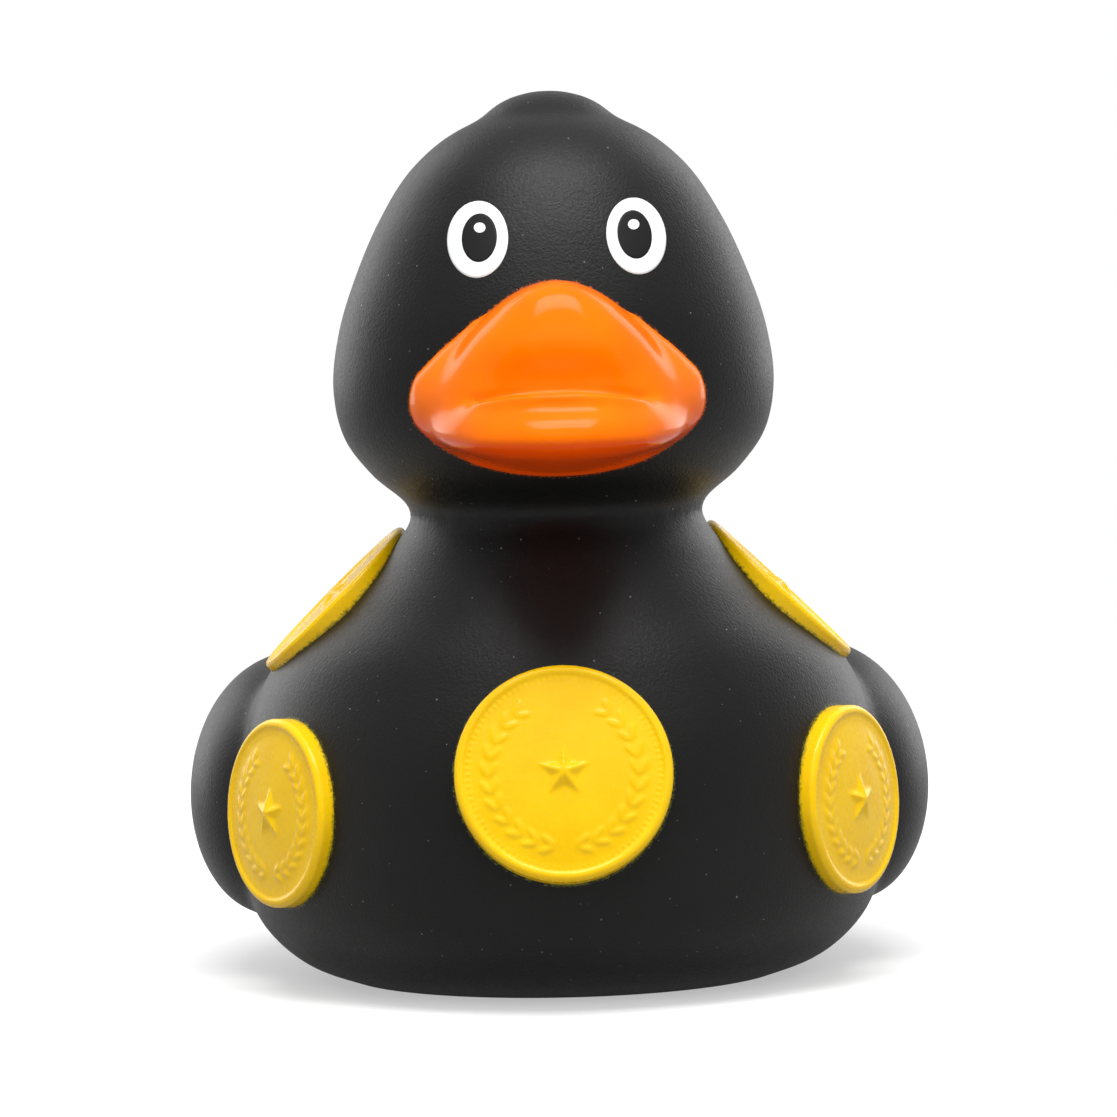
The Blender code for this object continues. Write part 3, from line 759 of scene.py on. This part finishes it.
# Geometry Nodes: flat beads set at even steps along an arc, each turned to face outwards
def arcTree():
    tree = bpy.data.node_groups.new("beads on an arc", "GeometryNodeTree")
    tree.interface.new_socket("Geometry", in_out="OUTPUT", socket_type="NodeSocketGeometry")
    for name in ("Copies", "Radius", "Start", "Sweep", "Size", "Height", "Tilt", "Material"):
        kind = {"Copies": "Int", "Size": "Vector", "Material": "Material"}.get(name, "Float")
        tree.interface.new_socket(name, in_out="INPUT", socket_type="NodeSocket" + kind)
    entry = tree.nodes.new("NodeGroupInput").outputs
    line = addNode(tree, "GeometryNodeMeshLine", [("Count", entry["Copies"])])
    index = tree.nodes.new("GeometryNodeInputIndex").outputs[0]
    steps = maths(tree, "SUBTRACT", entry["Copies"], 1.0)
    share = maths(tree, "DIVIDE", index, steps)
    angle = maths(tree, "ADD", entry["Start"], maths(tree, "MULTIPLY", entry["Sweep"], share))
    across = maths(tree, "MULTIPLY", entry["Radius"], maths(tree, "COSINE", angle))
    along = maths(tree, "MULTIPLY", entry["Radius"], maths(tree, "SINE", angle))
    spot = addNode(tree, "ShaderNodeCombineXYZ", [(0, across), (1, along), (2, entry["Height"])])
    links = [("Geometry", line.outputs[0]), ("Position", spot.outputs[0])]
    placed = addNode(tree, "GeometryNodeSetPosition", links)
    bead = addNode(tree, "GeometryNodeMeshUVSphere", [("Segments", 12), ("Rings", 8), ("Radius", 0.5)])
    turned = addNode(tree, "ShaderNodeCombineXYZ", [(2, maths(tree, "ADD", angle, entry["Tilt"]))])
    copies = addNode(
        tree,
        "GeometryNodeInstanceOnPoints",
        [
            ("Points", placed.outputs[0]),
            ("Instance", bead.outputs[0]),
            ("Rotation", turned.outputs[0]),
            ("Scale", entry["Size"]),
        ],
    )
    real = addNode(tree, "GeometryNodeRealizeInstances", [("Geometry", copies.outputs[0])])
    links = [("Geometry", real.outputs[0]), ("Material", entry["Material"])]
    painted = addNode(tree, "GeometryNodeSetMaterial", links)
    leave = tree.nodes.new("NodeGroupOutput")
    tree.links.new(painted.outputs[0], leave.inputs[0])
    return tree


# one arc of beads as a form, with the tree's inputs set by their sockets' identifiers
def beadsOnArc(tree, material, **values):
    holder = newObject("beads", ([(0, 0, 0)], []))
    modifier = holder.modifiers.new("beads", "NODES")
    modifier.node_group = tree
    sockets = {item.name: item.identifier for item in tree.interface.items_tree if item.in_out == "INPUT"}
    for name, value in values.items():
        modifier[sockets[name]] = value
    modifier[sockets["Material"]] = material
    plain = madePlain(holder, "beads")
    form = formOf(plain)
    bpy.data.objects.remove(plain)
    return form


def discOfCoin(radius, relief, segments=160):
    top, edge = relief, coin["edge"]
    rim = top + coin["rimRise"]
    field = radius - coin["rim"] - edge
    profile = [(field, top), (field + edge, rim), (radius - edge, rim), (radius, rim - edge)]
    profile.append((radius, -coin["root"]))
    turns = np.arange(segments) * (2 * math.pi / segments)
    circle = np.stack((np.cos(turns), np.sin(turns), np.ones(segments)), axis=1)
    points = np.vstack([circle * (reach, reach, height) for reach, height in profile])
    faces = [tuple(range(segments)), tuple(range(4 * segments, 5 * segments))[::-1]]
    for row in range(4):
        low = row * segments
        for i in range(segments):
            j = (i + 1) % segments
            faces.append((low + j, low + i, low + segments + i, low + segments + j))
    return points, faces


def starForm(relief):
    ring = []
    for point in range(10):
        reach = coin["starRadius"] * (coin["starWaist"] if point % 2 else 1.0)
        turn = math.radians(90 + 36 * point)
        ring.append((reach * math.cos(turn), reach * math.sin(turn)))
    low, high, tip = relief - coin["starRise"], relief + coin["starRise"], coin["starTop"]
    points = [(x, y, low) for x, y in ring] + [(x * tip, y * tip, high) for x, y in ring]
    faces = [tuple(range(10))[::-1], tuple(range(10, 20))]
    faces += [(i, (i + 1) % 10, 10 + (i + 1) % 10, 10 + i) for i in range(10)]
    return np.array(points), faces


# the coin flat on z = 0, before it is domed and placed
def makeCoinMesh(tree, material, radius, relief, dome):
    forms = [discOfCoin(radius, relief), starForm(relief)]
    full = 2 * math.pi * (coin["teeth"] - 1) / coin["teeth"]
    forms.append(
        beadsOnArc(
            tree, material, Copies=coin["teeth"], Radius=radius - coin["toothInset"], Start=0.0, Sweep=full,
            Size=coin["toothSize"], Height=relief, Tilt=0.0,
        )
    )
    for side in (1, -1):
        start = -math.pi / 2 + side * math.radians(coin["wreathGap"])
        for row, lean in ((coin["leafRow"], -1), (-coin["leafRow"], 1)):
            middle = radius - coin["leafInset"] + row
            forms.append(
                beadsOnArc(
                    tree, material, Copies=coin["leaves"], Radius=middle, Start=start,
                    Sweep=side * math.radians(coin["wreathSweep"]), Size=coin["leafSize"], Height=relief,
                    Tilt=side * (math.pi / 2 + lean * math.radians(coin["leafTilt"])),
                )
            )
    whole = newObject("coin", joinForms(forms))
    addSkin(whole, coin["voxel"], coin["smoothing"])
    whole = madePlain(whole, "coin")
    points = coordinates(whole.data)
    points[:, 2] -= (points[:, 0] ** 2 + points[:, 1] ** 2) / (2 * dome)
    whole.data.vertices.foreach_set("co", points.ravel())
    return whole


# point and outward direction of the plane through three points of the trunk
def seatOn(tree, angle, height, reach):
    farAway = 0.1
    level = (trunk["belly"][3] - trunk["belly"][2]) / 2
    start = Vector((0, level, height))
    out = Vector((math.sin(angle), -math.cos(angle), 0))
    aside = Vector((0, 0, 1)).cross(out)
    hits = []
    for turn in (0, 120, 240):
        shift = reach * math.cos(math.radians(turn))
        rise = reach * math.sin(math.radians(turn))
        moved = start + aside * shift + Vector((0, 0, rise))
        hits.append(tree.ray_cast(moved + out * farAway, -out)[0])
    centre = tree.ray_cast(start + out * farAway, -out)[0]
    normal = (hits[1] - hits[0]).cross(hits[2] - hits[0]).normalized()
    return centre, normal if normal.dot(out) > 0 else -normal


def makeCoins(skinTree, material):
    bare = newObject("bareTrunk", trunkForm())
    trunkTree = treeOf(bare)
    beads = arcTree()
    made = []
    for name, radius, relief, dome, angle, height, turn, sides in coinSeats:
        pattern = makeCoinMesh(beads, material, radius, relief, dome)
        rim = relief + coin["rimRise"]
        flat = coordinates(pattern.data)
        level = rim - (flat[:, 0] ** 2 + flat[:, 1] ** 2) / (2 * dome) - flat[:, 2]
        centre, normal = seatOn(trunkTree, math.radians(angle), height, radius * coin["seatShare"])
        normal = Matrix.Rotation(math.radians(turn), 3, "Z") @ normal
        for word, side in sides:
            seat = Vector((centre.x * side, centre.y, centre.z))
            facing = Vector((normal.x * side, normal.y, normal.z))
            thing = bpy.data.objects.new(name + word, pattern.data.copy())
            scene.collection.objects.link(thing)
            turned = facing.to_track_quat("Z", "Y").to_matrix().to_4x4()
            thing.data.transform(Matrix.Translation(seat) @ turned)
            above = np.array([signedDistance(skinTree, point) for point in coordinates(thing.data)])
            wallDepth = level / np.maximum(level + above, coin["wallLeast"])
            wallDepth[level < coin["wallFrom"]] = 0.0
            writeAttribute(thing.data, "wallDepth", np.clip(wallDepth, 0.0, 1.2))
            thing.data.materials.clear()
            thing.data.materials.append(material)
            made.append(thing)
        bpy.data.objects.remove(pattern)
    bpy.data.objects.remove(bare)
    print("coins:", len(made), "of", len(made[0].data.polygons), "faces")
    return made


def signedDistance(tree, point):
    spot, normal, _, distance = tree.find_nearest(Vector(point))
    return distance if (Vector(point) - spot).dot(normal) > 0 else -distance


# The eyes: thin printed layers that follow the skin.

eye = {
    "across": 0.00740,
    "height": 0.0715,
    "white": (0.00283, 0.00362),
    "shift": 0.0003,
    "lean": 5.0,
    "pupil": (0.00168, 0.00236),
    "pupilShift": (0.00018, 0.00012),
    "glint": (0.00056, 0.00050),
    "glintShift": (0.00025, 0.00105),
    "lift": 0.00004,
    "depth": 0.0002,
    "edgeShare": 12,
    "edgeLift": 0.3,
}


# a thin closed patch over the skin, seen from the front as an oval
def decalForm(tree, centre, halves, lean, lift, rings=14, segments=72):
    rows = [(0.0, 0.0)]
    for ring in range(1, rings + 1):
        for turn in np.arange(segments) * (2 * math.pi / segments):
            reach = ring / rings
            rows.append((reach * math.cos(turn), reach * math.sin(turn)))
    outer, inner = [], []
    cosLean, sinLean = math.cos(lean), math.sin(lean)
    for u, v in rows:
        reach = math.hypot(u, v)
        x = centre[0] + halves[0] * u * cosLean - halves[1] * v * sinLean
        z = centre[1] + halves[0] * u * sinLean + halves[1] * v * cosLean
        spot, normal, _, _ = tree.ray_cast(Vector((x, -0.1, z)), Vector((0, 1, 0)))
        rounded = lift * min(1.0, (1 - reach) * eye["edgeShare"] + eye["edgeLift"])
        outer.append(spot + normal * rounded)
        inner.append(spot - normal * eye["depth"])
    count = len(rows)
    faces = []
    for ring in range(rings):
        for i in range(segments):
            j = (i + 1) % segments
            if ring == 0:
                faces.append((0, 1 + i, 1 + j))
                faces.append((count, count + 1 + j, count + 1 + i))
            else:
                low = 1 + (ring - 1) * segments
                high = low + segments
                faces.append((low + i, high + i, high + j, low + j))
                faces.append((count + low + j, count + high + j, count + high + i, count + low + i))
    last = 1 + (rings - 1) * segments
    for i in range(segments):
        j = (i + 1) % segments
        faces.append((last + i, count + last + i, count + last + j, last + j))
    return np.array([tuple(point) for point in outer + inner]), faces


def makeEyes(skinTree, white, black):
    made = []
    for word, side in bothSides:
        lean = math.radians(eye["lean"]) * side
        centre = (eye["across"] * side + eye["shift"], eye["height"])
        layers = (
            ("white", (0, 0), eye["lift"], white),
            ("pupil", (-eye["pupilShift"][0] * side, eye["pupilShift"][1]), eye["lift"] * 1.8, black),
            ("glint", (-eye["glintShift"][0] * side, eye["glintShift"][1]), eye["lift"] * 2.6, white),
        )
        forms = []
        for key, shift, lift, _ in layers:
            spot = (centre[0] + shift[0], centre[1] + shift[1])
            forms.append(decalForm(skinTree, spot, eye[key], lean, lift))
        thing = newObject("eye" + word, joinForms(forms))
        thing.data.materials.append(white)
        thing.data.materials.append(black)
        slots = [np.full(len(form[1]), int(layer[3] is black)) for form, layer in zip(forms, layers)]
        thing.data.polygons.foreach_set("material_index", np.concatenate(slots))
        thing.data.shade_smooth()
        made.append(thing)
    print("eyes:", len(made))
    return made


# distance in millimetres from each point to a mesh, up to a limit
def nearestTo(tree, points, furthest):
    found = []
    for point in points:
        distance = tree.find_nearest(Vector(point), furthest)[3]
        found.append(furthest * 1000 if distance is None else distance * 1000)
    return found


# Putting it together.

skin = makeSkin()
skinTree = treeOf(skin)
beak = makeBeak()
yellow = yellowMaterial()
coins = makeCoins(skinTree, yellow)
whitePaint = eyeMaterial("white print", (0.86, 0.90, 0.90), (0.55, 0.57, 0.57), 0.36)
blackPaint = eyeMaterial("black print", (0.003, 0.0025, 0.0025), (0.010, 0.009, 0.009), 0.45)
eyes = makeEyes(skinTree, whitePaint, blackPaint)

skinPoints = coordinates(skin.data)
coinGap = np.full(len(skinPoints), 2.0)
for thing in coins:
    coinGap = np.minimum(coinGap, nearestTo(treeOf(thing), skinPoints, 0.002))
writeAttribute(skin.data, "nearCoin", coinGap)
writeAttribute(skin.data, "nearBeak", nearestTo(treeOf(beak), skinPoints, 0.002))

skin.data.materials.clear()
skin.data.materials.append(vinylMaterial())
beak.data.materials.clear()
beak.data.materials.append(orangeMaterial())
whistle = frame["nodes"]["whistle"]
for materialSlot in whistle.material_slots:
    materialSlot.material = whistleMaterial()
print("materials done")

for piece in (skin, beak, *coins, *eyes):
    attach(piece, "root")
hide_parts("duck_body")


# The stage: a wide pale floor, soft lamps and the camera.

stage = {
    "floor": (0.38, 0.38, 0.38),
    "floorRadius": 8.0,
    "fade": (0.12, 0.45),
    "floorInGloss": 0.25,
    "worldInGloss": 0.30,
    "worldDiffuse": 0.50,
    "nearGlow": 0.45,
    "nearDiffuse": 0.55,
    # a dark board behind the camera, under the key
    "flag": {"place": (0.0, -1.3, 0.30), "size": (2.6, 0.60)},
    "key": {"place": (0.03, -0.38, 1.18), "size": (1.00, 0.55), "power": 16.0},
    # lights the colours and makes no glints
    "front": {"place": (0.10, -1.10, 0.60), "size": (1.20, 0.80), "power": 6.0},
    "left": {"place": (-0.75, 0.95, 0.45), "size": (0.70, 1.10), "power": 4.6},
    "right": {"place": (0.75, 0.95, 0.45), "size": (0.70, 1.10), "power": 4.6},
}


def makeStage():
    floor = newObject("floor", discForm(stage["floorRadius"], -0.002, -0.00002))
    material, tree, shader = newMaterial("pale floor")
    shader.inputs["Base Color"].default_value = (*stage["floor"], 1.0)
    shader.inputs["Roughness"].default_value = 0.9
    shader.inputs["Specular IOR Level"].default_value = 0.0
    path = tree.nodes.new("ShaderNodeLightPath").outputs
    mirrored = maths(tree, "MAXIMUM", path["Is Glossy Ray"], path["Is Transmission Ray"])
    mirrored = maths(tree, "MULTIPLY", mirrored, stage["floorInGloss"])
    seen = maths(tree, "MAXIMUM", path["Is Camera Ray"], mirrored)
    # near the duck the floor takes its shadow, further out it turns into the white backdrop
    place = addNode(tree, "ShaderNodeTexCoord").outputs["Object"]
    far = addNode(tree, "ShaderNodeVectorMath", [(0, place)], operation="LENGTH").outputs["Value"]
    far = mapped(tree, far, *stage["fade"], 0.0, 1.0, True)
    glow = addNode(tree, "ShaderNodeEmission", [("Strength", stage["nearGlow"])])
    dull = addNode(tree, "ShaderNodeBsdfDiffuse", [("Color", (*[stage["nearDiffuse"]] * 3, 1.0))])
    near = addNode(tree, "ShaderNodeAddShader", [(0, glow.outputs[0]), (1, dull.outputs[0])])
    white = addNode(tree, "ShaderNodeEmission", [("Strength", 1.0)])
    pale = addNode(tree, "ShaderNodeMixShader", [(0, far), (1, near.outputs[0]), (2, white.outputs[0])])
    mixed = addNode(tree, "ShaderNodeMixShader", [(0, seen), (1, shader.outputs[0]), (2, pale.outputs[0])])
    tree.links.new(mixed.outputs[0], tree.nodes["Material Output"].inputs["Surface"])
    floor.data.materials.append(material)

    across, high = stage["flag"]["size"]
    x, y, z = stage["flag"]["place"]
    corners = [(x - across / 2, y, z - high / 2), (x + across / 2, y, z - high / 2)]
    corners += [(x + across / 2, y, z + high / 2), (x - across / 2, y, z + high / 2)]
    flag = newObject("flag", (corners, [(0, 1, 2, 3)]))
    flag.visible_camera = False
    material, tree, shader = newMaterial("dark board")
    shader.inputs["Base Color"].default_value = (0.02, 0.02, 0.02, 1.0)
    shader.inputs["Roughness"].default_value = 1.0
    flag.data.materials.append(material)

    world = bpy.data.worlds.new("studio")
    scene.world = world
    world.use_nodes = True
    tree = world.node_tree
    background = tree.nodes["Background"]
    path = tree.nodes.new("ShaderNodeLightPath").outputs
    mirrored = maths(tree, "MAXIMUM", path["Is Glossy Ray"], path["Is Transmission Ray"])
    mirrored = maths(tree, "MULTIPLY", mirrored, stage["worldInGloss"])
    seen = maths(tree, "MAXIMUM", path["Is Camera Ray"], mirrored)
    low = stage["worldDiffuse"]
    tree.links.new(mixedColour(tree, seen, (low, low, low), (1.0, 1.0, 1.0)), background.inputs["Color"])
    background.inputs["Strength"].default_value = 1.0

    for name in ("key", "front", "left", "right"):
        lamp = bpy.data.lights.new(name + "Lamp", "AREA")
        lamp.shape = "RECTANGLE"
        lamp.size, lamp.size_y = stage[name]["size"]
        lamp.energy = stage[name]["power"]
        holder = bpy.data.objects.new(name + "Lamp", lamp)
        scene.collection.objects.link(holder)
        holder.location = stage[name]["place"]
        holder.visible_glossy = name != "front"
        aim = Vector((0, 0, 0.04)) - Vector(stage[name]["place"])
        holder.rotation_euler = aim.to_track_quat("-Z", "Y").to_euler()


view = {
    "target": (0.00029, 0.0, 0.0405),
    "distance": 0.450,
    "elevation": 2.5,
    "yaw": 1.2,
    "roll": 1.3,
    "across": 0.1105,
}


def makeCamera():
    lens = bpy.data.cameras.new("camera")
    lens.sensor_width = 36.0
    lens.lens = 36.0 * view["distance"] / view["across"]
    lens.clip_start = 0.01
    lens.clip_end = 50.0
    lens.dof.use_dof = False
    camera = bpy.data.objects.new("camera", lens)
    scene.collection.objects.link(camera)
    tilt, yaw, roll = (math.radians(view[key]) for key in ("elevation", "yaw", "roll"))
    away = Vector((-math.sin(yaw) * math.cos(tilt), -math.cos(yaw) * math.cos(tilt), math.sin(tilt)))
    right = (-away).cross(Vector((0, 0, 1))).normalized()
    up = right.cross(-away)
    turnedRight = right * math.cos(roll) - up * math.sin(roll)
    turnedUp = right * math.sin(roll) + up * math.cos(roll)
    turn = Matrix((turnedRight, turnedUp, away)).transposed().to_4x4()
    camera.matrix_world = Matrix.Translation(Vector(view["target"]) + away * view["distance"]) @ turn
    scene.camera = camera


makeStage()
makeCamera()
print("stage and camera done")
